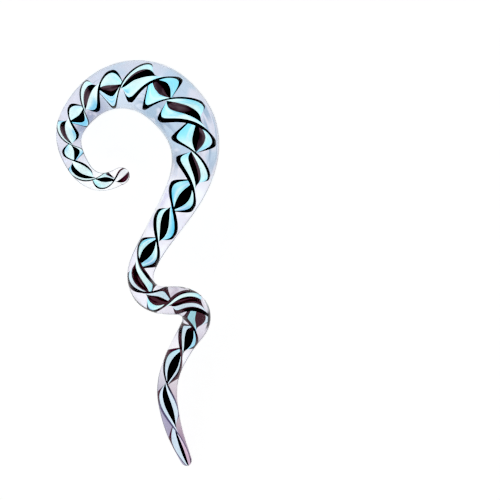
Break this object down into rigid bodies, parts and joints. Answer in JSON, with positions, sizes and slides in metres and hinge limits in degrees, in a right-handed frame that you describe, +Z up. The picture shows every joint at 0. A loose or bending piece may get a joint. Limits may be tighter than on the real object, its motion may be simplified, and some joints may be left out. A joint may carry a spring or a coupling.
{
  "type": "spiral ear taper",
  "caption": "Worked-glass spiral ear taper: a clear rod curled into a hook over a slanting stem, a small corkscrew and a thin tail, with a striped dark and ice-blue ribbon twisted inside it.",
  "frame": {"origin": "middle of the taper's plan box, on the surface that it lies on", "axes": "+Z up from the surface, +Y from the tail's tip towards the top of the hook, +X towards the side of the hook's thick curve, away from the hook's own tip"},
  "size_m": [0.0296, 0.0737, 0.0101],
  "materials": {
    "clear_glass": "fire-polished, clear with a faint lavender tint",
    "dark_glass": "opaque black glass with a brown and purple sheen, maroon where it is thin",
    "blue_glass": "milky ice-blue glass, streaked"
  },
  "bodies": {
    "root": {"clear_rod": "clear_glass", "centre_stripe": "dark_glass", "band_one": "blue_glass", "band_two": "blue_glass", "edge_one": "dark_glass", "edge_two": "dark_glass"}
  },
  "joints": []
}
